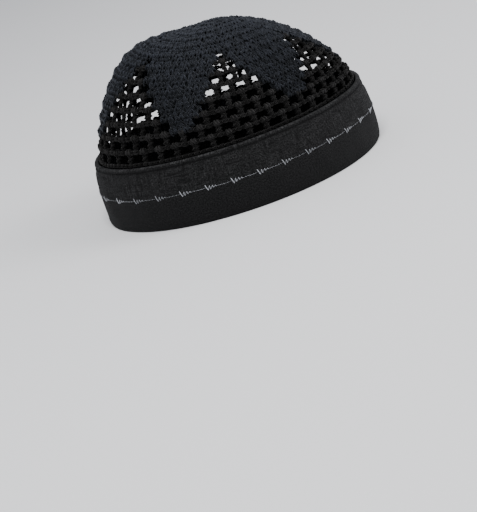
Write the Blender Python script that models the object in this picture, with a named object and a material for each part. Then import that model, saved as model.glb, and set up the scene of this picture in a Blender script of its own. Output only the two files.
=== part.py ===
"""Prayer cap: a crocheted dome worked in rounds from the top, over a wide plain cloth band.

Metres, +Z up, +X towards the front of the cap. The band's lower edge lies on z = 0.
"""

import math

import bmesh
import bpy
import numpy as np

# Driving sizes, all outside sizes of the finished cap.
LENGTH = 0.200
WIDTH = 0.156
HEIGHT = 0.1115
BAND_HEIGHT = 0.044

# The crochet pattern. A turn is a share of the way round the cap from its front, and a unit
# is one mesh square. Every round starts a little further round than the last, by the drift.
SECTORS = 6
UNITS = 42
UNIT = 1.0 / UNITS
FIRST_SECTOR = 0.75
DRIFT = -0.5 / 360.0
OPENING_WIDTH = 0.68
BAR_SHARE = 0.20

# The crochet's thickness, its ridges and dimples, and how it meets the band.
CROWN_WALL = 0.0030
RIDGE = 0.0007
DIMPLE = 0.0012
DIMPLE_FLOOR = 0.86
TUCK = 0.012
GAP = 0.0003
CROWN_CENTRE_X = 0.011

# A soft swell where the crown stands a little fuller towards the back, and how far it lifts
# the highest point above the centre of the top.
SWELL_X = -0.045
SWELL_Y = 0.015
SWELL_HEIGHT = 0.0043
SWELL_RADIUS = 0.026
SWELL_LIFT = 0.0015

# How each side of the dome curves: a high fullness stays wide, a high flatness stays tall.
SIDES = {
    "front": {"fullness": 1.70, "flatness": 1.42},
    "side": {"fullness": 2.54, "flatness": 1.47},
    "back": {"fullness": 4.36, "flatness": 1.13},
}

# One row per round of crochet from the band up: its lower edge as a share of the way from
# the band to the centre of the top, and the openings in each of the six mesh fields.
ROUNDS = [
    {"edge_share": 0.008, "openings": 7},
    {"edge_share": 0.074, "openings": 7},
    {"edge_share": 0.142, "openings": 6},
    {"edge_share": 0.211, "openings": 5},
    {"edge_share": 0.283, "openings": 4},
    {"edge_share": 0.356, "openings": 3},
    {"edge_share": 0.432, "openings": 2},
    {"edge_share": 0.509, "openings": 1},
    {"edge_share": 0.585, "openings": 0},
    {"edge_share": 0.657, "openings": 0},
    {"edge_share": 0.728, "openings": 0},
    {"edge_share": 0.799, "openings": 0},
    {"edge_share": 0.868, "openings": 0},
    {"edge_share": 0.936, "openings": 0},
]
FULL_MESH_ROUNDS = 2
PIERCED_ROUNDS = 3
FIRST_PLAIN_ROUND = 9

# Columns round the crown in the plain rounds.
PLAIN_COLUMNS = [56, 48, 36, 28, 18, 12]

# Where the band's upper edge begins to round over, as a share of its height.
BAND_SHOULDER = 0.985

# The band's thickness where its cloth is folded double at the lower edge.
BAND_FOLD = 0.0030

# The band's section: outer face from the bottom up, then inner face from the top down.
# Heights are shares of the band's height, and insets are in folds from its widest line.
BAND_OUTER = [
    {"height_share": 0.000, "inset_folds": 0.40},
    {"height_share": 0.018, "inset_folds": 0.17},
    {"height_share": 0.060, "inset_folds": 0.03},
    {"height_share": 0.300, "inset_folds": 0.00},
    {"height_share": 0.550, "inset_folds": 0.10},
    {"height_share": 0.750, "inset_folds": 0.53},
    {"height_share": 0.925, "inset_folds": 1.13},
    {"height_share": 0.940, "inset_folds": 1.33},
    {"height_share": 0.955, "inset_folds": 1.10},
    {"height_share": BAND_SHOULDER, "inset_folds": 1.20},
    {"height_share": 1.000, "inset_folds": 1.40},
]
BAND_INNER = [
    {"height_share": 1.000, "inset_folds": 2.07},
    {"height_share": BAND_SHOULDER, "inset_folds": 2.23},
    {"height_share": 0.750, "inset_folds": 1.40},
    {"height_share": 0.550, "inset_folds": 0.93},
    {"height_share": 0.290, "inset_folds": 0.83},
    {"height_share": 0.250, "inset_folds": 1.00},
    {"height_share": 0.000, "inset_folds": 1.00},
]
BAND_COLUMNS = 72


def clear_scene():
    for thing in list(bpy.data.objects):
        bpy.data.objects.remove(thing, do_unlink=True)


def outline(turn, inset):
    """Points on the oval outline, drawn in by inset, at equal lengths of its edge."""
    angle = np.linspace(0.0, 2.0 * math.pi, 1441)
    half_length = LENGTH / 2.0 - inset
    half_width = WIDTH / 2.0 - inset
    x = half_length * np.cos(angle)
    y = half_width * np.sin(angle)
    run = np.concatenate([[0.0], np.cumsum(np.hypot(np.diff(x), np.diff(y)))])
    place = np.mod(turn, 1.0) * run[-1]
    return np.interp(place, run, x), np.interp(place, run, y)


def band_inner_inset(height):
    """How far in the band's inner face lies at this height."""
    rows = BAND_INNER[::-1]
    shares = [row["height_share"] for row in rows]
    insets = [row["inset_folds"] * BAND_FOLD for row in rows]
    return np.interp(height / BAND_HEIGHT, shares, insets)


CROWN_INSET = float(band_inner_inset(BAND_HEIGHT * BAND_SHOULDER)) + GAP


def side_curve(side, reach, rise):
    """Shares of the run, the reach and the height along one side's curve, edge to centre."""
    angle = np.linspace(0.0, math.pi / 2.0, 400)
    out = np.cos(angle) ** (2.0 / SIDES[side]["fullness"])
    up = np.sin(angle) ** (2.0 / SIDES[side]["flatness"])
    out[-1] = 0.0
    run = np.cumsum(np.hypot(np.diff(out) * reach, np.diff(up) * rise))
    run = np.concatenate([[0.0], run])
    return run / run[-1], out, up


def dome(turn, share):
    """Points on the crown's outer face, share 0 at the band's top and 1 at the centre."""
    turn = np.asarray(turn, float)
    share = np.broadcast_to(np.asarray(share, float), turn.shape)
    edge_x, edge_y = outline(turn, CROWN_INSET)
    across = edge_x - CROWN_CENTRE_X
    span = np.hypot(across, edge_y)
    cosine = across / span
    sine = edge_y / span
    rise = HEIGHT - BAND_HEIGHT - RIDGE - SWELL_LIFT
    reaches = {
        "front": LENGTH / 2.0 - CROWN_INSET - CROWN_CENTRE_X,
        "side": WIDTH / 2.0 - CROWN_INSET,
        "back": LENGTH / 2.0 - CROWN_INSET + CROWN_CENTRE_X,
    }
    weights = {
        "front": np.maximum(cosine, 0.0) ** 2,
        "side": sine**2,
        "back": np.maximum(-cosine, 0.0) ** 2,
    }
    out = np.zeros_like(turn)
    up = np.zeros_like(turn)
    for side, weight in weights.items():
        run, side_out, side_up = side_curve(side, reaches[side], rise)
        out = out + weight * np.interp(share, run, side_out)
        up = up + weight * np.interp(share, run, side_up)
    x = CROWN_CENTRE_X + across * out
    y = edge_y * out
    away = ((x - SWELL_X) ** 2 + (y - SWELL_Y) ** 2) / SWELL_RADIUS**2
    z = BAND_HEIGHT + rise * up + SWELL_HEIGHT * np.exp(-away) * up
    return np.stack([x, y, z], axis=-1)


def dome_normal(turn, share):
    """Outward directions square to the crown's outer face."""
    turn = np.asarray(turn, float)
    share = np.broadcast_to(np.asarray(share, float), turn.shape)
    step = 0.004
    low = np.clip(share - step, 0.0, 0.985)
    high = np.clip(share + step, low + step, 0.995)
    middle = np.clip(share, 0.0, 0.99)
    round_it = dome(turn + 0.002, middle) - dome(turn - 0.002, middle)
    up_it = dome(turn, high) - dome(turn, low)
    normal = np.cross(round_it, up_it)
    return normal / np.linalg.norm(normal, axis=-1, keepdims=True)


def on_crown(turn, share, proud):
    """Points held off the crown's outer face by proud, which is negative inside it."""
    return dome(turn, share) + proud * dome_normal(turn, share)


def on_skirt(turn, height, proud):
    """Points on the part of the crown that is tucked inside the band."""
    inset = float(band_inner_inset(height)) + GAP - proud
    x, y = outline(np.asarray(turn, float), inset)
    return np.stack([x, y, np.full_like(x, height)], axis=-1)


def opening_turns(number):
    """The middles of a round's mesh squares, and which of the squares are open."""
    shift = DRIFT * (number - 4) + FIRST_SECTOR
    half = 0.5 * (number % 2)
    ring = shift + (np.arange(UNITS) + half) * UNIT
    count = ROUNDS[number - 1]["openings"]
    per_sector = UNITS // SECTORS
    steps = np.arange(UNITS) + half
    from_axis = np.mod(steps + per_sector / 2.0, per_sector) - per_sector / 2.0
    is_open = np.abs(from_axis) < count / 2.0 + 0.01
    if number <= FULL_MESH_ROUNDS:
        is_open[:] = True
    return ring, is_open


class Shell:
    """Rings of corners joined into one closed skin."""

    def __init__(self):
        self.mesh = bmesh.new()

    def ring(self, points, turns):
        corners = [self.mesh.verts.new(point) for point in points]
        return {"corners": corners, "turns": np.asarray(turns, float)}

    def face(self, corners, inward):
        if inward:
            corners = corners[::-1]
        return self.mesh.faces.new(corners)

    def zip(self, lower, upper, inward):
        """Fill between two closed rings whose corners need not line up."""
        low, high = lower["turns"], upper["turns"]
        low_count, high_count = len(low), len(high)
        start = int(np.argmin(np.abs(np.mod(high - low[0] + 0.5, 1.0) - 0.5)))
        offset = np.mod(high[start] - low[0] + 0.5, 1.0) - 0.5 - high[start] + low[0]
        a = 0
        b = 0
        while a < low_count or b < high_count:
            next_low = low[(a + 1) % low_count] + (a + 1) // low_count
            index = start + b + 1
            next_high = high[index % high_count] + index // high_count + offset
            here = lower["corners"][a % low_count]
            there = upper["corners"][(start + b) % high_count]
            if b >= high_count or (a < low_count and next_low <= next_high):
                new = lower["corners"][(a + 1) % low_count]
                self.face([here, new, there], inward)
                a += 1
            else:
                new = upper["corners"][index % high_count]
                self.face([here, new, there], inward)
                b += 1

    def stack(self, rings, inward):
        for lower, upper in zip(rings[:-1], rings[1:]):
            self.zip(lower, upper, inward)

    def finish(self, name, colour):
        bmesh.ops.recalc_face_normals(self.mesh, faces=self.mesh.faces)
        data = bpy.data.meshes.new(name)
        self.mesh.to_mesh(data)
        self.mesh.free()
        for polygon in data.polygons:
            polygon.use_smooth = True
        material = bpy.data.materials.new(name)
        material.use_nodes = True
        shader = material.node_tree.nodes["Principled BSDF"]
        shader.inputs["Base Color"].default_value = (*colour, 1.0)
        shader.inputs["Roughness"].default_value = 0.9
        data.materials.append(material)
        thing = bpy.data.objects.new(name, data)
        bpy.context.scene.collection.objects.link(thing)
        return thing


def paired(ring, half_width):
    """The two sides of each opening, in order round the cap."""
    return np.stack([ring - half_width, ring + half_width], axis=-1).reshape(-1)


def side_strip(shell, lower, upper, is_open, inward):
    """Fill a round between its edge rings, leaving its openings unfilled."""
    count = len(lower["corners"])
    holes = []
    for index in range(count):
        after = (index + 1) % count
        corners = [
            lower["corners"][index],
            lower["corners"][after],
            upper["corners"][after],
            upper["corners"][index],
        ]
        if index % 2 == 0 and is_open[index // 2]:
            holes.append(corners)
        else:
            shell.face(corners, inward)
    return holes


def join_rims(shell, outer, inner):
    for index in range(4):
        after = (index + 1) % 4
        shell.face([outer[index], outer[after], inner[after], inner[index]], True)


def dimple(shell, corners):
    """Close an opening with a floor a little below the crown's face."""
    centre = sum((corner.co for corner in corners), start=corners[0].co * 0.0) / 4.0
    across = corners[1].co - corners[0].co
    upward = corners[3].co - corners[0].co
    inward = across.cross(upward).normalized() * -DIMPLE
    floor = []
    for corner in corners:
        place = centre + (corner.co - centre) * DIMPLE_FLOOR + inward
        floor.append(shell.mesh.verts.new(place))
    join_rims(shell, corners, floor)
    shell.face(floor, False)


def make_crown():
    shell = Shell()
    half_opening = OPENING_WIDTH * UNIT / 2.0
    edges = [row["edge_share"] for row in ROUNDS] + [1.0]
    turns = paired(opening_turns(1)[0], half_opening)

    outer = []
    inner = []
    for height in (BAND_HEIGHT - TUCK, BAND_HEIGHT * 0.87, BAND_HEIGHT * BAND_SHOULDER):
        outer.append(shell.ring(on_skirt(turns, height, 0.0), turns))
        inner.append(shell.ring(on_skirt(turns, height, -CROWN_WALL), turns))
    shell.zip(inner[0], outer[0], False)
    outer.append(shell.ring(on_crown(turns, edges[0] / 2.0, 0.0), turns))

    for number in range(1, FIRST_PLAIN_ROUND):
        low, high = edges[number - 1], edges[number]
        bar = BAR_SHARE * (high - low)
        ring, is_open = opening_turns(number)
        turns = paired(ring, half_opening)
        if number > 1:
            between = turns - UNIT / 4.0
            outer.append(shell.ring(on_crown(between, low, RIDGE), between))
        bottom = shell.ring(on_crown(turns, low + bar, 0.0), turns)
        top = shell.ring(on_crown(turns, high - bar, 0.0), turns)
        outer.append(bottom)
        shell.stack(outer, False)
        holes = side_strip(shell, bottom, top, is_open, False)
        outer = [top]
        if number <= PIERCED_ROUNDS:
            bottom = shell.ring(on_crown(turns, low + bar, -CROWN_WALL), turns)
            top = shell.ring(on_crown(turns, high - bar, -CROWN_WALL), turns)
            inner.append(bottom)
            shell.stack(inner, True)
            inner_holes = side_strip(shell, bottom, top, is_open, True)
            inner = [top]
            for outer_rim, inner_rim in zip(holes, inner_holes):
                join_rims(shell, outer_rim, inner_rim)
        else:
            for rim in holes:
                dimple(shell, rim)
            even = np.arange(UNITS) * UNIT + ring[0]
            middle = (low + high) / 2.0
            inner.append(shell.ring(on_crown(even, middle, -CROWN_WALL), even))

    for number, columns in enumerate(PLAIN_COLUMNS, start=FIRST_PLAIN_ROUND):
        low, high = edges[number - 1], edges[number]
        even = (np.arange(columns) + 0.5 * (number % 2)) / columns + FIRST_SECTOR
        outer.append(shell.ring(on_crown(even, low, RIDGE), even))
        bar = BAR_SHARE * (high - low)
        outer.append(shell.ring(on_crown(even, low + bar, 0.0), even))
        if number < len(ROUNDS):
            outer.append(shell.ring(on_crown(even, high - bar, 0.0), even))
            fewer = even[:: 2 if columns > 30 else 1]
            middle = (low + high) / 2.0
            inner.append(shell.ring(on_crown(fewer, middle, -CROWN_WALL), fewer))
    shell.stack(outer, False)
    shell.stack(inner, True)

    for rings, proud, inward in ((outer, 0.0, False), (inner, -CROWN_WALL, True)):
        last = rings[-1]["corners"]
        tip = dome(np.array([0.0]), np.array([1.0]))[0]
        point = shell.mesh.verts.new((tip[0], tip[1], tip[2] + proud))
        for index, corner in enumerate(last):
            after = last[(index + 1) % len(last)]
            shell.face([corner, after, point], inward)
    return shell.finish("crown", (0.012, 0.014, 0.022))


def make_band():
    shell = Shell()
    turns = np.arange(BAND_COLUMNS) / BAND_COLUMNS
    rings = []
    for row in BAND_OUTER + BAND_INNER:
        x, y = outline(turns, row["inset_folds"] * BAND_FOLD)
        height = np.full_like(x, row["height_share"] * BAND_HEIGHT)
        points = np.stack([x, y, height], axis=-1)
        rings.append(shell.ring(points, turns))
    for lower, upper in zip(rings, rings[1:] + rings[:1]):
        for index in range(BAND_COLUMNS):
            after = (index + 1) % BAND_COLUMNS
            corners = [
                lower["corners"][index],
                lower["corners"][after],
                upper["corners"][after],
                upper["corners"][index],
            ]
            shell.face(corners, False)
    return shell.finish("band", (0.020, 0.020, 0.022))


clear_scene()
make_crown()
make_band()
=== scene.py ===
"""Prayer cap: the crown stitch by stitch, the cloth band, and the stitching on it.

Metres, +Z up, +X towards the front of the cap. A turn is a share of the way round the cap from
its front. A proud length stands off a surface, and is negative inside it.
"""

import math

import bpy
import numpy as np
from mathutils import Matrix, Vector


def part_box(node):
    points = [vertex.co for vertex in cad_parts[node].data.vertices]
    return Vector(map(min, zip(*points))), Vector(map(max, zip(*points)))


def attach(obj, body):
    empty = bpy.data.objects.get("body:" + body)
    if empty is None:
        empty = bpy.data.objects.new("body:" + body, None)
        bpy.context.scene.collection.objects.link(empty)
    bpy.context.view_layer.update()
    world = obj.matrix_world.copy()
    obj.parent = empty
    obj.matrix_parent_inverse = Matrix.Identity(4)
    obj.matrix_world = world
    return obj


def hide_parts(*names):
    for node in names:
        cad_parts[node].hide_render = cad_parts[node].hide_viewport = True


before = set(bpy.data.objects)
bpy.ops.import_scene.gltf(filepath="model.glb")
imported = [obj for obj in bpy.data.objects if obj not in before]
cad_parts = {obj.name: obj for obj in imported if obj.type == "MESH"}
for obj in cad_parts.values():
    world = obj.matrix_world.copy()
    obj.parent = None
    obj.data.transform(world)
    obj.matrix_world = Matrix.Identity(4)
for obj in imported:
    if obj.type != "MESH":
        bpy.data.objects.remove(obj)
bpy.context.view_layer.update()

# Sizes, read from the solids where they can be.
band_low, band_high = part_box("band")
LENGTH = band_high.x - band_low.x
WIDTH = band_high.y - band_low.y
BAND_HEIGHT = band_high.z
HEIGHT = 0.1115
MILLIMETRE = 0.001
OVAL_STEPS = 1440
CURVE_STEPS = 400

# The crochet pattern, as in the solids.
SECTORS = 6
UNITS = 42
UNIT = 1.0 / UNITS
FIRST_SECTOR = 0.75
DRIFT = -0.5 / 360.0
FULL_MESH_ROUNDS = 2
RIDGE = 0.0007
TUCK = 0.012
GAP = 0.0003
CROWN_CENTRE_X = 0.011
SWELL_X = -0.045
SWELL_Y = 0.015
SWELL_HEIGHT = 0.0043
SWELL_RADIUS = 0.026
SWELL_LIFT = 0.0015
SIDES = {
    "front": {"fullness": 1.70, "flatness": 1.42},
    "side": {"fullness": 2.54, "flatness": 1.47},
    "back": {"fullness": 4.36, "flatness": 1.13},
}

# One row per round from the band up: its lower edge as a share of the way to the centre of
# the top, the openings in each mesh field, and the stitches in each dense petal or, where
# there is no mesh, in the whole round.
ROUNDS = [
    {"edge_share": 0.008, "openings": 7, "stitches": 0},
    {"edge_share": 0.074, "openings": 7, "stitches": 0},
    {"edge_share": 0.142, "openings": 6, "stitches": 5},
    {"edge_share": 0.211, "openings": 5, "stitches": 8},
    {"edge_share": 0.283, "openings": 4, "stitches": 11},
    {"edge_share": 0.356, "openings": 3, "stitches": 13},
    {"edge_share": 0.432, "openings": 2, "stitches": 14},
    {"edge_share": 0.509, "openings": 1, "stitches": 14},
    {"edge_share": 0.585, "openings": 0, "stitches": 90},
    {"edge_share": 0.657, "openings": 0, "stitches": 72},
    {"edge_share": 0.728, "openings": 0, "stitches": 60},
    {"edge_share": 0.799, "openings": 0, "stitches": 44},
    {"edge_share": 0.868, "openings": 0, "stitches": 28},
    {"edge_share": 0.936, "openings": 0, "stitches": 14},
]

# The yarn, the size of a flat dense stitch, and how far all stitches are pressed into the dome.
YARN = 0.00145
TWIST_LENGTH = 2.2
STITCH_WIDTH = 0.0034
STITCH_HEIGHT = 0.0080
LAID_IN = 0.0008

# A pillar's width and a petal's reach over the mesh beside it, as shares of a mesh square, the
# chain links along one square's bar, and the tiers of loops on a dense stitch. Pillars differ
# by their turns of twist, and loops by how far their legs are spread in millimetres.
PILLAR_WIDTH = 0.42
PETAL_OVERLAP = 0.16
LINKS = 3
TIERS = 3
TUCKED_STRANDS = 150
PILLAR_TWISTS = (1.15, 1.3, 1.45)
LOOP_SPREADS = (-0.15, 0.0, 0.15)

# A stitch's shade runs from 0, dark, to 1, light, from a random tone of its own, and painted
# light and shade are added to it. The mesh loses the first value below, as painted shade for
# its thin bars in shadow. The first petal round loses the second, as painted shade where the
# crown turns down from the light, and those above it ever less, down to nothing as many rounds
# further up as the third gives. A strand gains the fourth for each yarn's thickness that it lies
# above CREST and loses as much below it: painted light on crests, painted shade in crevices.
MESH_PAINTED_SHADE = 1.1
PETAL_PAINTED_SHADE = 0.95
PAINTED_SHADE_ROUNDS = 9.0
DEPTH_PAINTED_LIGHT_AND_SHADE = 1.3
CREST = 0.0004

# The crown's face is followed down to this share, inside the band, and its slope is read no
# nearer to the centre of the top than the second one.
SKIRT_FOOT = -1.2
SLOPE_LIMIT = 0.985

# The band and its stitching. Heights are shares of the band's height.
BAND_COLUMNS = 360
BAND_FOLD = 0.0030
BAND_SHOULDER = 0.985
OUTER_RINGS = 26
INNER_RINGS = 9
GROOVE_SHARE = 0.925
HEM_LINE_SHARE = 0.9375
HEM_STITCHES = 230
HEM_THREAD = 0.00035
SILVER_LINE_SHARE = 0.522
SILVER_REPEATS = 32
SILVER_REPEAT_LENGTH = 0.017
SILVER_START = -0.0042
SILVER_THREAD = 0.00050
SILVER_PULL = 0.0003
SILVER_PULL_SHARE = 0.022
CREASE_COUNT = 34
WEAVE_PITCH = 0.00085

# The band's two faces from the bottom up. Insets are in folds from its widest line.
BAND_OUTER = [
    {"height_share": 0.000, "inset_folds": 0.40},
    {"height_share": 0.018, "inset_folds": 0.17},
    {"height_share": 0.060, "inset_folds": 0.03},
    {"height_share": 0.300, "inset_folds": 0.00},
    {"height_share": 0.550, "inset_folds": 0.10},
    {"height_share": 0.750, "inset_folds": 0.53},
    {"height_share": GROOVE_SHARE, "inset_folds": 1.13},
    {"height_share": 0.940, "inset_folds": 1.33},
    {"height_share": 0.955, "inset_folds": 1.10},
    {"height_share": BAND_SHOULDER, "inset_folds": 1.20},
    {"height_share": 1.000, "inset_folds": 1.40},
]
BAND_INNER = [
    {"height_share": 0.000, "inset_folds": 1.00},
    {"height_share": 0.250, "inset_folds": 1.00},
    {"height_share": 0.290, "inset_folds": 0.83},
    {"height_share": 0.550, "inset_folds": 0.93},
    {"height_share": 0.750, "inset_folds": 1.40},
    {"height_share": BAND_SHOULDER, "inset_folds": 2.23},
    {"height_share": 1.000, "inset_folds": 2.07},
]

# Yarns and threads. The crochet's two materials are one cotton; the mesh's copy is darker and
# has less sheen, as painted shade for its thin bars in shadow.
THREADS = {
    "crochet cotton": {
        "dark": (0.0024, 0.0029, 0.0038),
        "light": (0.0200, 0.0229, 0.0312),
        "plies": 3.0,
        "fibre_scale": 1800.0,
        "bump": 0.6,
        "relief": 0.0003,
        "gloss": 0.15,
        "sheen": 0.08,
        "sheen_tint": (0.85, 0.90, 1.0),
    },
    # Painted shade: the same cotton, darker and with less sheen, for the mesh's thin bars.
    "crochet cotton, mesh, painted shade": {
        "dark": (0.0013, 0.0012, 0.0012),
        "light": (0.0195, 0.0188, 0.0190),
        "plies": 3.0,
        "fibre_scale": 1800.0,
        "bump": 0.6,
        "relief": 0.0003,
        "gloss": 0.12,
        "sheen": 0.050,
        "sheen_tint": (1.0, 0.97, 0.94),
    },
    "silver thread": {
        "dark": (0.095, 0.098, 0.105),
        "light": (0.37, 0.38, 0.405),
        "plies": 2.0,
        "fibre_scale": 4000.0,
        "bump": 0.35,
        "relief": 0.0001,
        "gloss": 0.6,
        "sheen": 0.0,
        "sheen_tint": (1.0, 1.0, 1.0),
    },
    "black sewing thread": {
        "dark": (0.0015, 0.0015, 0.0016),
        "light": (0.0065, 0.0065, 0.0070),
        "plies": 2.0,
        "fibre_scale": 5000.0,
        "bump": 0.3,
        "relief": 0.0001,
        "gloss": 0.1,
        "sheen": 0.0,
        "sheen_tint": (1.0, 1.0, 1.0),
    },
}


def deselect_all():
    bpy.ops.object.select_all(action="DESELECT")


# The surfaces of the band and the dome.


def oval(inset):
    """Points round the oval outline drawn in by inset, their angles, and the run up to each."""
    angle = np.linspace(0.0, 2.0 * math.pi, OVAL_STEPS + 1)
    x = (LENGTH / 2.0 - inset) * np.cos(angle)
    y = (WIDTH / 2.0 - inset) * np.sin(angle)
    run = np.concatenate([[0.0], np.cumsum(np.hypot(np.diff(x), np.diff(y)))])
    return {"angle": angle, "x": x, "y": y, "run": run}


BAND_GIRTH = float(oval(0.0)["run"][-1])


def outline(turn, inset):
    """Points on the oval outline, drawn in by inset, at equal lengths of its edge."""
    edge = oval(inset)
    place = np.mod(turn, 1.0) * edge["run"][-1]
    return np.interp(place, edge["run"], edge["x"]), np.interp(place, edge["run"], edge["y"])


def outline_inset(turn, inset):
    """As outline, with a different inset for each point."""
    x, y = outline(turn, 0.0)
    return x * (1.0 - inset / (LENGTH / 2.0)), y * (1.0 - inset / (WIDTH / 2.0))


def turn_of(corners):
    """The turn of each point, by the length of the outline's edge."""
    edge = oval(0.0)
    seen = np.arctan2(corners[:, 1] / WIDTH, corners[:, 0] / LENGTH)
    return np.interp(np.mod(seen, 2.0 * math.pi), edge["angle"], edge["run"] / edge["run"][-1])


def band_inset(rows, share):
    """How far in a face of the band lies at this share of its height."""
    shares = [row["height_share"] for row in rows]
    insets = [row["inset_folds"] * BAND_FOLD for row in rows]
    return np.interp(share, shares, insets)


CROWN_INSET = float(band_inset(BAND_INNER, BAND_SHOULDER)) + GAP
REACHES = {
    "front": LENGTH / 2.0 - CROWN_INSET - CROWN_CENTRE_X,
    "side": WIDTH / 2.0 - CROWN_INSET,
    "back": LENGTH / 2.0 - CROWN_INSET + CROWN_CENTRE_X,
}
RISE = HEIGHT - BAND_HEIGHT - RIDGE - SWELL_LIFT


def side_curve(side):
    """Shares of the run, the reach and the height along one side's curve, edge to centre."""
    angle = np.linspace(0.0, math.pi / 2.0, CURVE_STEPS)
    out = np.cos(angle) ** (2.0 / SIDES[side]["fullness"])
    up = np.sin(angle) ** (2.0 / SIDES[side]["flatness"])
    out[-1] = 0.0
    run = np.cumsum(np.hypot(np.diff(out) * REACHES[side], np.diff(up) * RISE))
    run = np.concatenate([[0.0], run])
    return run / run[-1], out, up


CURVES = {side: side_curve(side) for side in SIDES}


def dome(turn, share):
    """Points on the crown's outer face, share 0 at the band's top and 1 at the centre."""
    edge_x, edge_y = outline(turn, CROWN_INSET)
    across = edge_x - CROWN_CENTRE_X
    span = np.hypot(across, edge_y)
    cosine = across / span
    weights = {
        "front": np.maximum(cosine, 0.0) ** 2,
        "side": (edge_y / span) ** 2,
        "back": np.maximum(-cosine, 0.0) ** 2,
    }
    out = np.zeros_like(turn)
    up = np.zeros_like(turn)
    for side, weight in weights.items():
        run, side_out, side_up = CURVES[side]
        out = out + weight * np.interp(share, run, side_out)
        up = up + weight * np.interp(share, run, side_up)
    x = CROWN_CENTRE_X + across * out
    y = edge_y * out
    away = ((x - SWELL_X) ** 2 + (y - SWELL_Y) ** 2) / SWELL_RADIUS**2
    z = BAND_HEIGHT + RISE * up + SWELL_HEIGHT * np.exp(-away) * up
    return np.stack([x, y, z], axis=-1)


def skirt(turn, share):
    """The crown's outer face below share 0, where it is tucked inside the band."""
    depth = -share * TUCK
    height_share = np.clip((BAND_HEIGHT - depth) / BAND_HEIGHT, 0.0, BAND_SHOULDER)
    x, y = outline_inset(turn, band_inset(BAND_INNER, height_share) + GAP)
    return np.stack([x, y, BAND_HEIGHT - depth], axis=-1)


def crown_face(turn, share):
    above = dome(turn, np.clip(share, 0.0, 1.0))
    below = skirt(turn, np.clip(share, SKIRT_FOOT, 0.0))
    return np.where((share < 0.0)[..., None], below, above)


def on_crown(turn, share, proud):
    """Points held off the crown's outer face by proud."""
    turn_step = 0.002
    share_step = 0.004
    low = np.clip(share - share_step, SKIRT_FOOT, SLOPE_LIMIT)
    high = np.clip(share + share_step, low + share_step, SLOPE_LIMIT + 0.01)
    middle = np.clip(share, SKIRT_FOOT, SLOPE_LIMIT)
    round_it = crown_face(turn + turn_step, middle) - crown_face(turn - turn_step, middle)
    up_it = crown_face(turn, high) - crown_face(turn, low)
    normal = np.cross(round_it, up_it)
    normal /= np.linalg.norm(normal, axis=-1, keepdims=True)
    return crown_face(turn, share) + np.asarray(proud)[..., None] * normal


# Flat stitches, with points in millimetres: x along the round, y up towards the centre of the
# top, z out of the crochet.


def strand(points, thickness, flatten=1.0):
    """One length of yarn along these points, flatten times as wide as it is thick."""
    deselect_all()
    bpy.ops.curve.primitive_nurbs_path_add()
    path = bpy.context.object
    path.data.splines.clear()
    spline = path.data.splines.new("POLY")
    spline.points.add(len(points) - 1)
    for corner, place in zip(spline.points, points):
        corner.co = (*(Vector(place) * MILLIMETRE), 1.0)
    path.data.dimensions = "3D"
    path.data.twist_mode = "MINIMUM"
    path.data.bevel_depth = thickness / 2.0
    path.data.bevel_resolution = 0
    path.data.use_fill_caps = True
    bpy.ops.object.convert(target="MESH")
    piece = bpy.context.object
    for vertex in piece.data.vertices:
        vertex.co.x *= flatten
    length = sum(math.dist(a, b) for a, b in zip(points[:-1], points[1:])) * MILLIMETRE
    for mark in piece.data.uv_layers[0].data:
        mark.uv.x *= length / (TWIST_LENGTH * thickness)
    return piece


def join(pieces, name):
    deselect_all()
    for piece in pieces:
        piece.select_set(True)
    bpy.context.view_layer.objects.active = pieces[0]
    bpy.ops.object.join()
    whole = bpy.context.object
    whole.name = name
    whole.data.name = name
    return whole


def twisted_pair(low, high, turns, reach, depth, spread):
    """Two strands twisted round each other from height low to height high."""
    pieces = []
    for start in (0.0, math.pi):
        points = []
        for step in range(7):
            along = step / 6.0
            angle = start + 2.0 * math.pi * turns * along
            wide = reach * (1.0 + spread * (2.0 * along - 1.0) ** 2)
            x = wide * math.cos(angle)
            z = -1.0 + depth * math.sin(angle)
            points.append((x, low + (high - low) * along, z))
        pieces.append(strand(points, YARN))
    return pieces


def model_backing():
    """The flat core of a dense stitch, which closes the fabric behind its loops."""
    return strand([(0.0, -0.3, -1.9), (0.0, 4.0, -2.15), (0.0, 8.3, -1.9)], YARN, 3.0)


def model_loop(spread):
    """One small loop of the dense crochet: two short legs and the yarn drawn over them."""
    pieces = []
    for side in (-1.0, 1.0):
        leg = [
            (side * (1.25 + spread), -1.0, -1.5),
            (side * (1.10 + spread), 0.0, -0.25),
            (side * 0.62, 1.25, 0.28),
            (side * 0.10, 2.2, -0.9),
        ]
        pieces.append(strand(leg, YARN * 0.95))
    over = [(-1.2, 1.7, -1.4), (-0.35, 2.35, -0.15), (0.45, 2.45, -0.10), (1.3, 2.0, -1.4)]
    pieces.append(strand(over, YARN * 0.80))
    return join(pieces, "loop")


def model_pillar(turns):
    """A stitch that stands alone in the mesh, with the loops that hold it to the bar above."""
    pieces = twisted_pair(0.2, 7.2, turns, 0.74, 0.42, 0.60)
    over = [
        (-1.45, 2.7, -1.3),
        (-0.8, 3.1, -0.4),
        (0.1, 3.7, -0.02),
        (0.9, 4.3, -0.4),
        (1.5, 4.7, -1.3),
    ]
    pieces.append(strand(over, YARN * 0.9))
    pieces.append(strand([(0.0, 0.0, -2.0), (0.0, 3.8, -2.0), (0.0, 7.4, -1.9)], YARN, 1.2))
    for side in (-1.0, 1.0):
        loop = [
            (side * 0.60, 6.2, -0.6),
            (side * 0.68, 7.4, 0.65),
            (side * 0.72, 8.8, 0.80),
            (side * 0.64, 10.0, -0.4),
            (side * 0.58, 9.5, -1.8),
        ]
        pieces.append(strand(loop, YARN * 0.95))
    return join(pieces, "pillar")


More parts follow.
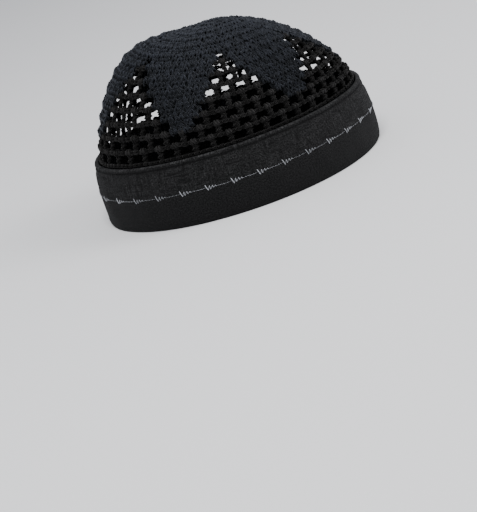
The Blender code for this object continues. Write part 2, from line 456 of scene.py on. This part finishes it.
def model_link():
    """One link of the chain along a bar of the mesh: two legs, a nose and the bump behind."""
    legs = [
        (1.75, 0.70, -0.9),
        (0.60, 0.88, 0.10),
        (-0.85, 0.50, 0.06),
        (-1.30, 0.0, -0.45),
        (-0.85, -0.50, 0.06),
        (0.60, -0.88, 0.10),
        (1.75, -0.70, -0.9),
    ]
    pieces = [strand(legs, YARN)]
    pieces.append(strand([(-1.7, 0.0, -1.15), (0.0, 0.0, -1.5), (1.7, 0.0, -1.15)], YARN * 1.3))
    return join(pieces, "link")


def arched(start, end, rise):
    """A machine stitch from start to end on the cloth's face, sunk at both ends."""
    points = []
    for along, up in ((0.0, -0.35), (0.12, 0.1), (0.5, 1.0), (0.88, 0.1), (1.0, -0.35)):
        x = start[0] + (end[0] - start[0]) * along
        y = start[1] + (end[1] - start[1]) * along
        points.append((x, y, rise * up))
    return points


def model_silver_repeat():
    """One repeat of the decorative stitch: four falling strokes, then a run of thin thread."""
    falling = [
        {"start": (0.0, 2.1), "end": (1.3, -1.7), "rise": 0.50, "thickness": 1.2},
        {"start": (2.7, 1.2), "end": (2.9, -1.3), "rise": 0.45, "thickness": 0.9},
        {"start": (4.7, 1.1), "end": (5.0, -0.6), "rise": 0.40, "thickness": 0.9},
        {"start": (6.6, 0.6), "end": (6.9, -0.2), "rise": 0.35, "thickness": 0.9},
    ]
    run = [(6.9, -0.2), (9.4, 0.1), (11.9, -0.1), (14.4, 0.05), (17.0, 0.2)]
    pieces = []
    for stroke in falling:
        points = arched(stroke["start"], stroke["end"], stroke["rise"])
        pieces.append(strand(points, SILVER_THREAD * stroke["thickness"]))
    for before, after in zip(falling[:-1], falling[1:]):
        points = arched(before["end"], after["start"], before["rise"] * 0.7)
        pieces.append(strand(points, SILVER_THREAD * 0.45))
    for start, end in zip(run[:-1], run[1:]):
        pieces.append(strand(arched(start, end, 0.16), SILVER_THREAD * 0.26))
    for x, _y in run[1:-1]:
        knot = [(x, -0.35, 0.0), (x, 0.0, 0.20), (x, 0.35, 0.0)]
        pieces.append(strand(knot, SILVER_THREAD * 0.42))
    return join(pieces, "silver_repeat")


def read_flat(master, height=STITCH_HEIGHT):
    """The master's corners, faces and map as arrays; the master is then removed."""
    data = master.data
    flat = {
        "corners": np.array([vertex.co[:] for vertex in data.vertices]),
        "loops": np.array([corner.vertex_index for corner in data.loops]),
        "sizes": np.array([polygon.loop_total for polygon in data.polygons]),
        "marks": np.array([mark.uv[:] for mark in data.uv_layers[0].data]),
        "height": height,
    }
    bpy.data.objects.remove(master, do_unlink=True)
    return flat


def make_mesh(name, copies, material):
    """One mesh from copies of flat stitches, whose corners are in place."""
    corners = np.concatenate([copy["corners"] for copy in copies]).astype(np.float32)
    counts = [len(copy["corners"]) for copy in copies]
    firsts = np.concatenate([[0], np.cumsum(counts)[:-1]])
    loops = np.concatenate([copy["flat"]["loops"] + first for copy, first in zip(copies, firsts)])
    sizes = np.concatenate([copy["flat"]["sizes"] for copy in copies]).astype(np.int32)
    marks = np.concatenate([copy["flat"]["marks"] for copy in copies]).astype(np.float32)
    shades = np.concatenate([copy["shades"] for copy in copies]).astype(np.float32)
    starts = np.concatenate([[0], np.cumsum(sizes)[:-1]]).astype(np.int32)

    data = bpy.data.meshes.new(name)
    data.vertices.add(len(corners))
    data.vertices.foreach_set("co", corners.ravel())
    data.loops.add(len(loops))
    data.loops.foreach_set("vertex_index", loops.astype(np.int32))
    data.polygons.add(len(sizes))
    data.polygons.foreach_set("loop_start", starts)
    data.polygons.foreach_set("loop_total", sizes)
    data.polygons.foreach_set("use_smooth", np.ones(len(sizes), bool))
    data.update(calc_edges=True)
    data.validate()
    layer = data.uv_layers.new(name="Yarn")
    layer.data.foreach_set("uv", marks.ravel())
    shade = data.attributes.new("Shade", "FLOAT", "POINT")
    shade.data.foreach_set("value", shades)
    data.materials.append(material)
    thing = bpy.data.objects.new(name, data)
    bpy.context.scene.collection.objects.link(thing)
    return thing


# Where each stitch of the crown goes.


def round_edges(number):
    shares = [row["edge_share"] for row in ROUNDS] + [1.0]
    return shares[number - 1], shares[number]


def round_start(number):
    """The turn that a round's first sector is centred on."""
    return FIRST_SECTOR + DRIFT * (number - 4)


def squares_of(number):
    """The left edge of every mesh square of a round, and whether a stitch stands there."""
    full = number <= FULL_MESH_ROUNDS
    squares = UNITS // SECTORS if full else ROUNDS[number - 1]["openings"]
    half = 0.5 * (number % 2) if full else 0.0
    found = []
    for sector in range(SECTORS):
        first = round_start(number) + sector / SECTORS - (squares / 2.0 + half) * UNIT
        for square in range(squares):
            found.append((first + square * UNIT, square > 0 or full))
    return found


def dense_stitches(number):
    """The middle and the width of every dense stitch of a round."""
    row = ROUNDS[number - 1]
    if row["openings"] == 0:
        width = 1.0 / row["stitches"]
        return [(round_start(number) + (index + 0.5) * width, width) for index in range(row["stitches"])]
    if number <= FULL_MESH_ROUNDS:
        return []
    half_mesh = (row["openings"] / 2.0 - PETAL_OVERLAP) * UNIT
    width = (1.0 / SECTORS - 2.0 * half_mesh) / row["stitches"]
    found = []
    for sector in range(SECTORS):
        start = round_start(number) + sector / SECTORS + half_mesh
        for index in range(row["stitches"]):
            found.append((start + (index + 0.5) * width, width))
    return found


def place_stitch(kind, turn, width, low, high, rng, loose):
    """A place for one stitch; a loose one wanders further from its round."""
    return {
        "kind": kind,
        "turn": turn + rng.normal(0.0, 0.03 + 0.07 * loose) * width,
        "width": width * (1.0 + rng.normal(0.0, 0.05)),
        "lean": DRIFT + rng.normal(0.0, 0.05) * width,
        "tilt": rng.normal(0.0, 0.02 + 0.30 * loose),
        "low": low + rng.normal(0.0, 0.01 + 0.09 * loose) * (high - low),
        "high": high,
        "proud": rng.normal(0.0, 0.0001 + 0.00012 * loose),
        "shade": rng.random(),
    }


def place_backing(turn, width, low, high, rng):
    """A place for one flat strand, which always stands upright."""
    place = place_stitch("backing", turn, width, low, high, rng, 0.0)
    place["tilt"] = 0.0
    return place


def plan_mesh(number, rng):
    """The pillars of a round's mesh, and the chain along its lower bars."""
    low, high = round_edges(number)
    width = UNIT / LINKS
    places = []
    for start, stands in squares_of(number):
        if stands:
            kind = f"pillar{rng.integers(0, len(PILLAR_TWISTS))}"
            places.append(place_stitch(kind, start, UNIT * PILLAR_WIDTH, low, high, rng, 0.0))
        for index in range(LINKS):
            link = place_stitch("link", start + index * width, width, low, high, rng, 0.15)
            link["lean"] = rng.normal(0.0, 0.3) * width
            places.append(link)
    # Painted shade on every stitch of the mesh.
    for place in places:
        place["shade"] -= MESH_PAINTED_SHADE
    return places


def plan_dense(number, rng):
    """The cores of a round's dense stitches, and the tiers of loops over each."""
    low, high = round_edges(number)
    past_mesh = number - FULL_MESH_ROUNDS - 1
    # Painted shade, strongest on the first petal round and fading out towards the top.
    painted_shade = PETAL_PAINTED_SHADE * max(0.0, 1.0 - past_mesh / PAINTED_SHADE_ROUNDS)
    places = []
    for turn, width in dense_stitches(number):
        places.append(place_backing(turn, width, low, high, rng))
        for tier in range(TIERS):
            foot = low + (high - low) * (tier + 0.15) / TIERS
            head = foot + (high - low) / TIERS
            kind = f"loop{rng.integers(0, len(LOOP_SPREADS))}"
            shifted = turn + 0.5 * width * (tier % 2)
            loop = place_stitch(kind, shifted, width, foot, head, rng, 1.0)
            loop["proud"] += RIDGE if tier == 0 else -0.3 * RIDGE
            places.append(loop)
    for place in places:
        place["shade"] -= painted_shade
    return places


def lay_stitches(name, flats, places, material):
    """One mesh with a copy of a flat stitch bent onto the dome at each place."""
    copies = []
    for place in places:
        flat = flats[place["kind"]]
        along, up, out = flat["corners"].T
        tilt = place["tilt"]
        x = (along * math.cos(tilt) - up * math.sin(tilt)) / STITCH_WIDTH * place["width"]
        y = (up * math.cos(tilt) + along * math.sin(tilt)) / flat["height"]
        turn = place["turn"] + x + place["lean"] * y
        share = place["low"] + (place["high"] - place["low"]) * y
        corners = on_crown(turn, share, out + place["proud"] - LAID_IN)
        # Painted light on the crests of the strands and painted shade in the crevices between them.
        shades = place["shade"] + DEPTH_PAINTED_LIGHT_AND_SHADE * (out - CREST) / YARN
        copies.append({"flat": flat, "corners": corners, "shades": shades})
    return make_mesh(name, copies, material)


# The band.


def band_rings(rows, top_share, count):
    """A face's own heights and count even ones up to top_share, each with its inset."""
    shares = [row["height_share"] for row in rows]
    shares = np.unique(np.concatenate([shares, np.linspace(0.0, top_share, count)]))
    return [(share, float(band_inset(rows, share))) for share in shares]


def model_band(material):
    """The folded cloth band, extruded ring by ring from a circle and closed at its foot."""
    rings = band_rings(BAND_OUTER, GROOVE_SHARE, OUTER_RINGS)
    rings += band_rings(BAND_INNER, BAND_SHOULDER, INNER_RINGS)[::-1]
    deselect_all()
    bpy.ops.mesh.primitive_circle_add(vertices=BAND_COLUMNS, radius=1.0)
    band = bpy.context.object
    band.name = "band_cloth"
    band.data.name = "band_cloth"
    bpy.ops.object.mode_set(mode="EDIT")
    bpy.ops.mesh.select_all(action="SELECT")
    share, inset = rings[0]
    size = (LENGTH / 2.0 - inset, WIDTH / 2.0 - inset)
    bpy.ops.transform.resize(value=(*size, 1.0), center_override=(0.0, 0.0, 0.0))
    for next_share, next_inset in rings[1:]:
        rise = (next_share - share) * BAND_HEIGHT
        next_size = (LENGTH / 2.0 - next_inset, WIDTH / 2.0 - next_inset)
        bpy.ops.mesh.extrude_region_move(TRANSFORM_OT_translate={"value": (0.0, 0.0, rise)})
        grow = (next_size[0] / size[0], next_size[1] / size[1], 1.0)
        bpy.ops.transform.resize(value=grow, center_override=(0.0, 0.0, 0.0))
        share, size = next_share, next_size
    bpy.ops.mesh.select_mode(type="EDGE")
    bpy.ops.mesh.select_all(action="DESELECT")
    bpy.ops.mesh.select_non_manifold()
    bpy.ops.mesh.bridge_edge_loops(number_cuts=1, interpolation="LINEAR")
    bpy.ops.mesh.select_all(action="SELECT")
    bpy.ops.mesh.normals_make_consistent(inside=False)
    bpy.ops.object.mode_set(mode="OBJECT")
    soften = band.modifiers.new("Soften", "SUBSURF")
    soften.levels = 1
    soften.render_levels = 1
    bpy.ops.object.modifier_apply(modifier=soften.name)
    bpy.ops.object.shade_smooth()
    ruffle(band)
    map_cloth(band)
    band.data.materials.append(material)
    return band


def scatter_creases():
    """Shallow creases near the band's top, a few of them long, as values for cloth_push."""
    rng = np.random.default_rng(7)
    creases = []
    for number in range(CREASE_COUNT):
        long_one = number % 4 == 0
        creases.append(
            {
                "turn": rng.uniform(0.0, 1.0),
                "level": rng.uniform(0.74, 0.88) if long_one else rng.uniform(0.58, 0.90),
                "reach": rng.uniform(0.05, 0.09) if long_one else rng.uniform(0.012, 0.035),
                "height": rng.uniform(0.008, 0.014) if long_one else rng.uniform(0.010, 0.022),
                "slope": rng.normal(0.0, 0.25) if long_one else rng.normal(0.0, 1.0),
                "depth": rng.uniform(0.00025, 0.0005),
            }
        )
    return creases


CREASES = scatter_creases()
WAVES = [
    {"count": 5, "reach": 0.00030, "start": 0.11, "slope": 0.6},
    {"count": 9, "reach": 0.00025, "start": 0.52, "slope": 0.3},
    {"count": 17, "reach": 0.00016, "start": 0.87, "slope": 0.8},
    {"count": 31, "reach": 0.00010, "start": 0.34, "slope": 0.5},
]


def cloth_push(turn, share):
    """How far the worn cloth of the band's outer face stands off its even shape."""
    push = np.zeros_like(turn)
    for wave in WAVES:
        run = wave["count"] * turn + wave["start"] + wave["slope"] * share
        push = push + wave["reach"] * np.sin(2.0 * math.pi * run)
    push = push * np.clip(share * 6.0, 0.0, 1.0) * np.clip((1.0 - share) * 6.0, 0.15, 1.0)
    # The stitching draws the cloth in along the silver line.
    from_line = (share - SILVER_LINE_SHARE) / SILVER_PULL_SHARE
    push = push - SILVER_PULL * np.exp(-(from_line**2))
    for crease in CREASES:
        across = np.mod(turn - crease["turn"] + 0.5, 1.0) - 0.5
        off = (share - crease["level"] - crease["slope"] * across) / crease["height"]
        along = across / crease["reach"]
        push = push - crease["depth"] * np.exp(-(off**2) - along**2)
    return push


def corners_of(thing):
    corners = np.empty(len(thing.data.vertices) * 3, np.float32)
    thing.data.vertices.foreach_get("co", corners)
    return corners.reshape(-1, 3).astype(float)


def ruffle(band):
    """Give both faces of the band the look of worn cloth."""
    corners = corners_of(band)
    push = cloth_push(turn_of(corners), corners[:, 2] / BAND_HEIGHT)
    outward = np.stack([corners[:, 0] / LENGTH**2, corners[:, 1] / WIDTH**2], axis=-1)
    outward /= np.linalg.norm(outward, axis=-1, keepdims=True)
    corners[:, :2] += outward * push[:, None]
    band.data.vertices.foreach_set("co", corners.astype(np.float32).ravel())
    band.data.update()


def map_cloth(band):
    """A map in metres: along the band's edge, and up its height."""
    corners = corners_of(band)
    turn = turn_of(corners)
    for layer in list(band.data.uv_layers):
        band.data.uv_layers.remove(layer)
    layer = band.data.uv_layers.new(name="Cloth")
    for polygon in band.data.polygons:
        first = turn[polygon.vertices[0]]
        for loop, vertex in zip(polygon.loop_indices, polygon.vertices):
            near = turn[vertex] + round(first - turn[vertex])
            layer.data[loop].uv = (near * BAND_GIRTH, corners[vertex, 2])


def on_band(turn, height, proud):
    """Points held off the band's outer face by proud."""
    share = np.clip(height / BAND_HEIGHT, 0.0, 1.0)
    inset = band_inset(BAND_OUTER, share) - cloth_push(turn, share)
    return np.stack([*outline_inset(turn, inset - proud), height], axis=-1)


def lay_threads(name, flat, turns, height, stretch, material, rng):
    """One mesh with a copy of a flat run of thread wrapped onto the band at each turn."""
    along, up, out = flat["corners"].T
    copies = []
    for turn in turns:
        corners = on_band(turn + along * stretch / BAND_GIRTH, height + up, out)
        shades = np.full(len(corners), rng.random())
        copies.append({"flat": flat, "corners": corners, "shades": shades})
    return make_mesh(name, copies, material)


# Materials.


def feed(tree, socket, value):
    """Join an output to this input, or set the input to a constant."""
    if isinstance(value, bpy.types.NodeSocket):
        tree.links.new(value, socket)
    else:
        socket.default_value = value


def add_math(tree, operation, *values):
    node = tree.nodes.new("ShaderNodeMath")
    node.operation = operation
    for socket, value in zip(node.inputs, values):
        feed(tree, socket, value)
    return node.outputs[0]


def add_range(tree, value, low, high, to_low=0.0, to_high=1.0):
    """Carry low to high over to to_low to to_high."""
    node = tree.nodes.new("ShaderNodeMapRange")
    limits = {"From Min": low, "From Max": high, "To Min": to_low, "To Max": to_high}
    for name, limit in limits.items():
        node.inputs[name].default_value = limit
    tree.links.new(value, node.inputs["Value"])
    return node


def add_mix(tree, factor, a, b):
    node = tree.nodes.new("ShaderNodeMix")
    node.data_type = "FLOAT"
    for name, value in (("Factor", factor), ("A", a), ("B", b)):
        feed(tree, node.inputs[name], value)
    return node.outputs["Result"]


def add_noise(tree, place, scale, detail, roughness=0.5, distortion=0.0):
    node = tree.nodes.new("ShaderNodeTexNoise")
    tree.links.new(place, node.inputs["Vector"])
    feed(tree, node.inputs["Scale"], scale)
    node.inputs["Detail"].default_value = detail
    node.inputs["Roughness"].default_value = roughness
    node.inputs["Distortion"].default_value = distortion
    return node.outputs["Fac"]


def add_bump(tree, height, strength, distance):
    node = tree.nodes.new("ShaderNodeBump")
    node.inputs["Strength"].default_value = strength
    node.inputs["Distance"].default_value = distance
    tree.links.new(height, node.inputs["Height"])
    return node.outputs["Normal"]


def new_material(name):
    material = bpy.data.materials.new(name)
    material.use_nodes = True
    return material, material.node_tree, material.node_tree.nodes["Principled BSDF"]


def read_map(tree, name):
    """A map's own vector, and its two ways."""
    node = tree.nodes.new("ShaderNodeUVMap")
    node.uv_map = name
    split = tree.nodes.new("ShaderNodeSeparateXYZ")
    tree.links.new(node.outputs["UV"], split.inputs[0])
    return node.outputs["UV"], split.outputs["X"], split.outputs["Y"]


def make_yarn_surface():
    """Ply twist along a strand, loose fibres over it, and a shade for each stitch: its random tone
    with painted light and shade laid on it.
    """
    group = bpy.data.node_groups.new("Yarn surface", "ShaderNodeTree")
    for name, kind in (("Dark", "Color"), ("Light", "Color"), ("Plies", "Float"), ("Fibre Scale", "Float")):
        group.interface.new_socket(name, in_out="INPUT", socket_type="NodeSocket" + kind)
    for name, kind in (("Color", "Color"), ("Roughness", "Float"), ("Height", "Float")):
        group.interface.new_socket(name, in_out="OUTPUT", socket_type="NodeSocket" + kind)
    given = group.nodes.new("NodeGroupInput").outputs
    out = group.nodes.new("NodeGroupOutput").inputs

    _yarn, along, around = read_map(group, "Yarn")
    twist = add_math(group, "ADD", add_math(group, "MULTIPLY", around, given["Plies"]), along)
    wave = add_math(group, "SINE", add_math(group, "MULTIPLY", twist, 2.0 * math.pi))
    plies = add_range(group, wave, -1.0, 1.0).outputs[0]
    place = group.nodes.new("ShaderNodeTexCoord")
    fibres = add_noise(group, place.outputs["Object"], given["Fibre Scale"], 3.0, roughness=0.65)

    # Each stitch's random tone, with painted shade on the mesh and lower petals and painted light and shade
    # by depth.
    shade = group.nodes.new("ShaderNodeAttribute")
    shade.attribute_name = "Shade"
    stitch = add_math(group, "MULTIPLY_ADD", shade.outputs["Fac"], 0.45, -0.20)
    speckled = add_math(group, "MULTIPLY_ADD", fibres, 0.7, stitch)
    limit = group.nodes.new("ShaderNodeClamp")
    feed(group, limit.inputs["Value"], add_math(group, "MULTIPLY_ADD", plies, 0.45, speckled))
    light = limit.outputs[0]

    colour = group.nodes.new("ShaderNodeMix")
    colour.data_type = "RGBA"
    feed(group, colour.inputs["Factor"], light)
    feed(group, colour.inputs["A"], given["Dark"])
    feed(group, colour.inputs["B"], given["Light"])
    feed(group, out["Color"], colour.outputs["Result"])
    feed(group, out["Roughness"], add_range(group, light, 0.0, 1.0, 0.95, 0.72).outputs[0])
    feed(group, out["Height"], add_math(group, "MULTIPLY_ADD", fibres, 0.6, plies))
    return group


def make_thread_material(name, surface, values):
    """A material for yarn or thread: the surface group with this thread's own values."""
    material, tree, shader = new_material(name)
    yarn = tree.nodes.new("ShaderNodeGroup")
    yarn.node_tree = surface
    yarn.inputs["Dark"].default_value = (*values["dark"], 1.0)
    yarn.inputs["Light"].default_value = (*values["light"], 1.0)
    yarn.inputs["Plies"].default_value = values["plies"]
    yarn.inputs["Fibre Scale"].default_value = values["fibre_scale"]
    feed(tree, shader.inputs["Base Color"], yarn.outputs["Color"])
    feed(tree, shader.inputs["Roughness"], yarn.outputs["Roughness"])
    bump = add_bump(tree, yarn.outputs["Height"], values["bump"], values["relief"])
    feed(tree, shader.inputs["Normal"], bump)
    shader.inputs["Specular IOR Level"].default_value = values["gloss"]
    shader.inputs["Sheen Weight"].default_value = values["sheen"]
    shader.inputs["Sheen Roughness"].default_value = 0.5
    shader.inputs["Sheen Tint"].default_value = (*values["sheen_tint"], 1.0)
    return material


def add_wrinkles(tree, cloth):
    """Wrinkles that lie along the band, and in patches stand upright."""
    ways = {
        "lying": {"scale": (80.0, 600.0, 1.0), "slant": 4.0, "distortion": 0.6},
        "standing": {"scale": (560.0, 130.0, 1.0), "slant": -5.0, "distortion": 0.4},
        "patches": {"scale": (150.0, 70.0, 1.0), "slant": 0.0, "distortion": 0.0},
    }
    noises = {}
    for name, way in ways.items():
        stretch = tree.nodes.new("ShaderNodeMapping")
        stretch.inputs["Scale"].default_value = way["scale"]
        stretch.inputs["Rotation"].default_value = (0.0, 0.0, math.radians(way["slant"]))
        tree.links.new(cloth, stretch.inputs["Vector"])
        noises[name] = add_noise(tree, stretch.outputs["Vector"], 1.0, 2.0, distortion=way["distortion"])
    upright = add_range(tree, noises["patches"], 0.46, 0.54).outputs[0]
    return add_mix(tree, upright, noises["lying"], noises["standing"])


def add_tone_and_painted_light(tree, level):
    """The cloth's grey by its height: painted shade at the foot and in the stitched groove, a
    painted highlight along the top edge, and a little greyer above the silver line.
    """
    shades = [
        # Painted shade: darker towards the foot, where it cancels the floor's bounce light.
        {"level": 0.000, "grey": 0.0034},
        {"level": 0.150, "grey": 0.0052},
        # Greyer above the silver line.
        {"level": 0.490, "grey": 0.0062},
        {"level": 0.540, "grey": 0.0078},
        {"level": 0.900, "grey": 0.0086},
        # Painted shade in the stitched groove below the top edge.
        {"level": 0.922, "grey": 0.0050},
        {"level": 0.937, "grey": 0.0010},
        {"level": 0.955, "grey": 0.0062},
        {"level": 0.975, "grey": 0.0075},
        # A painted highlight along the top edge.
        {"level": 0.990, "grey": 0.0150},
    ]
    tone = tree.nodes.new("ShaderNodeValToRGB")
    ramp = tone.color_ramp
    for shade in shades[1:-1]:
        ramp.elements.new(shade["level"])
    for element, shade in zip(ramp.elements, shades):
        element.position = shade["level"]
        element.color = (shade["grey"], shade["grey"], shade["grey"] * 1.02, 1.0)
    tree.links.new(level, tone.inputs["Fac"])
    return tone.outputs["Color"]


def make_band_cloth():
    """Close black cloth: a fine weave, wrinkled above the silver line, with the wrinkles' light and
    shade also painted into its colour there, and smoother below it.
    """
    material, tree, shader = new_material("band cloth")
    cloth, along, height = read_map(tree, "Cloth")
    silver_height = SILVER_LINE_SHARE * BAND_HEIGHT
    step = add_range(tree, height, silver_height - 0.001, silver_height + 0.001)
    step.interpolation_type = "SMOOTHSTEP"
    above = step.outputs[0]
    wrinkles = add_wrinkles(tree, cloth)
    grain = add_noise(tree, cloth, 1000.0, 2.0)

    # The two ways of the weave are each a fine wave.
    waves = []
    for way in (along, height):
        threads = add_math(tree, "MULTIPLY", way, 2.0 * math.pi / WEAVE_PITCH)
        waves.append(add_math(tree, "SINE", threads))
    weave = add_math(tree, "MULTIPLY", *waves)
    fine = add_math(tree, "MULTIPLY_ADD", weave, 0.12, add_math(tree, "MULTIPLY", grain, 1.6))
    creased = add_math(tree, "MULTIPLY", wrinkles, above)
    relief = add_math(tree, "MULTIPLY_ADD", creased, 2.2, fine)
    feed(tree, shader.inputs["Normal"], add_bump(tree, relief, 0.9, 0.0007))

    speckle = add_range(tree, grain, 0.34, 0.66, 0.1, 1.9).outputs[0]
    # Painted light and shade of the wrinkles above the silver line: their noise lightens and darkens the
    # colour.
    painted_wrinkle_light = add_range(tree, wrinkles, 0.3, 0.7, 0.25, 1.85).outputs[0]
    strength = add_math(tree, "MULTIPLY", speckle, add_mix(tree, above, 1.0, painted_wrinkle_light))
    colour = tree.nodes.new("ShaderNodeVectorMath")
    colour.operation = "SCALE"
    feed(tree, colour.inputs[0], add_tone_and_painted_light(tree, add_math(tree, "DIVIDE", height, BAND_HEIGHT)))
    feed(tree, colour.inputs["Scale"], strength)
    feed(tree, shader.inputs["Base Color"], colour.outputs["Vector"])
    feed(tree, shader.inputs["Roughness"], add_range(tree, grain, 0.0, 1.0, 0.75, 0.95).outputs[0])
    shader.inputs["Specular IOR Level"].default_value = 0.12
    shader.inputs["Sheen Weight"].default_value = 0.02
    shader.inputs["Sheen Roughness"].default_value = 0.6
    shader.inputs["Sheen Tint"].default_value = (0.8, 0.8, 0.85, 1.0)
    return material


def make_floor_material():
    material, tree, shader = new_material("pale floor")
    place = tree.nodes.new("ShaderNodeTexCoord")
    cloud = add_noise(tree, place.outputs["Object"], 0.8, 2.0)
    tone = tree.nodes.new("ShaderNodeValToRGB")
    tone.color_ramp.elements[0].color = (0.78, 0.78, 0.79, 1.0)
    tone.color_ramp.elements[1].color = (0.82, 0.82, 0.83, 1.0)
    feed(tree, tone.inputs["Fac"], cloud)
    feed(tree, shader.inputs["Base Color"], tone.outputs["Color"])
    shader.inputs["Roughness"].default_value = 0.9
    return material


# Build the cap.

yarn_surface = make_yarn_surface()
threads = {name: make_thread_material(name, yarn_surface, THREADS[name]) for name in THREADS}

flats = {}
for variant, turns in enumerate(PILLAR_TWISTS):
    flats[f"pillar{variant}"] = read_flat(model_pillar(turns))
for variant, spread in enumerate(LOOP_SPREADS):
    flats[f"loop{variant}"] = read_flat(model_loop(spread), height=STITCH_HEIGHT / TIERS)
flats["backing"] = read_flat(model_backing())
flats["link"] = read_flat(model_link())

rng = np.random.default_rng(3)
mesh_places = []
petal_places = []
top_places = []
for number, row in enumerate(ROUNDS, start=1):
    if row["openings"] == 0:
        top_places += plan_dense(number, rng)
    else:
        mesh_places += plan_mesh(number, rng)
        petal_places += plan_dense(number, rng)
edge_width = 1.0 / TUCKED_STRANDS
edge_places = []
for index in range(TUCKED_STRANDS):
    edge_places.append(place_backing(index * edge_width, edge_width, -1.0, -0.05, rng))
crown_mesh = lay_stitches("crown_mesh", flats, mesh_places, threads["crochet cotton, mesh, painted shade"])
crown_petals = lay_stitches("crown_petals", flats, petal_places, threads["crochet cotton"])
crown_top = lay_stitches("crown_top", flats, top_places, threads["crochet cotton"])
crown_edge = lay_stitches("crown_edge", flats, edge_places, threads["crochet cotton"])

band = model_band(make_band_cloth())
silver_line = lay_threads(
    "silver_line",
    read_flat(model_silver_repeat()),
    FIRST_SECTOR + SILVER_START + np.arange(SILVER_REPEATS) / SILVER_REPEATS,
    SILVER_LINE_SHARE * BAND_HEIGHT,
    BAND_GIRTH / SILVER_REPEATS / SILVER_REPEAT_LENGTH,
    threads["silver thread"],
    rng,
)
hem_line = lay_threads(
    "hem_line",
    read_flat(strand(arched((-0.95, 0.0), (0.95, 0.0), 0.25), HEM_THREAD)),
    np.arange(HEM_STITCHES) / HEM_STITCHES,
    HEM_LINE_SHARE * BAND_HEIGHT,
    1.0,
    threads["black sewing thread"],
    rng,
)

for piece in (crown_mesh, crown_petals, crown_top, crown_edge):
    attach(piece, "root")
    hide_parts("crown")
for piece in (band, silver_line, hem_line):
    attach(piece, "root")
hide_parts("band")

# The floor, the light and the camera.

deselect_all()
bpy.ops.mesh.primitive_grid_add(x_subdivisions=8, y_subdivisions=8, size=24.0)
floor = bpy.context.object
floor.name = "floor"
floor.data.materials.append(make_floor_material())

world = bpy.data.worlds.new("soft room")
world.use_nodes = True
world.node_tree.nodes["Background"].inputs["Color"].default_value = (0.93, 0.95, 1.0, 1.0)
world.node_tree.nodes["Background"].inputs["Strength"].default_value = 0.65
bpy.context.scene.world = world

LIGHT_AIM = Vector((0.0, 0.0, 0.06))


def add_soft_light(name, place, size, power):
    lamp = bpy.data.lights.new(name, "AREA")
    lamp.shape = "RECTANGLE"
    lamp.size = size
    lamp.size_y = size
    lamp.energy = power
    holder = bpy.data.objects.new(name, lamp)
    bpy.context.scene.collection.objects.link(holder)
    holder.location = place
    holder.rotation_euler = (LIGHT_AIM - Vector(place)).to_track_quat("-Z", "Y").to_euler()


add_soft_light("high_light", place=(-0.2, -0.9, 1.7), size=0.9, power=33.0)
add_soft_light("front_light", place=(1.6, -0.6, 1.15), size=1.0, power=20.0)

# The photograph's viewing angle, in degrees turned to radians, then metres and the lens.
CAMERA_AZIMUTH = math.radians(-6.31)
CAMERA_ELEVATION = math.radians(20.77)
CAMERA_ROLL = math.radians(-18.22)
CAMERA_DISTANCE = 0.8585
CAMERA_AIM = Vector((-0.02225, 0.0, -0.05546))
CAMERA_LENS = 84.02


def place_camera():
    back = Vector(
        (
            math.sin(CAMERA_AZIMUTH) * math.cos(CAMERA_ELEVATION),
            -math.cos(CAMERA_AZIMUTH) * math.cos(CAMERA_ELEVATION),
            math.sin(CAMERA_ELEVATION),
        )
    )
    right = (-back).cross(Vector((0.0, 0.0, 1.0))).normalized()
    up = right.cross(-back)
    turned_right = right * math.cos(CAMERA_ROLL) + up * math.sin(CAMERA_ROLL)
    turned_up = up * math.cos(CAMERA_ROLL) - right * math.sin(CAMERA_ROLL)
    data = bpy.data.cameras.new("photo_camera")
    data.lens = CAMERA_LENS
    data.sensor_width = 36.0
    data.clip_end = 60.0
    camera = bpy.data.objects.new("photo_camera", data)
    bpy.context.scene.collection.objects.link(camera)
    place = CAMERA_AIM + back * CAMERA_DISTANCE
    turned = Matrix((turned_right, turned_up, back)).transposed()
    camera.matrix_world = Matrix.Translation(place) @ turned.to_4x4()
    bpy.context.scene.camera = camera


place_camera()
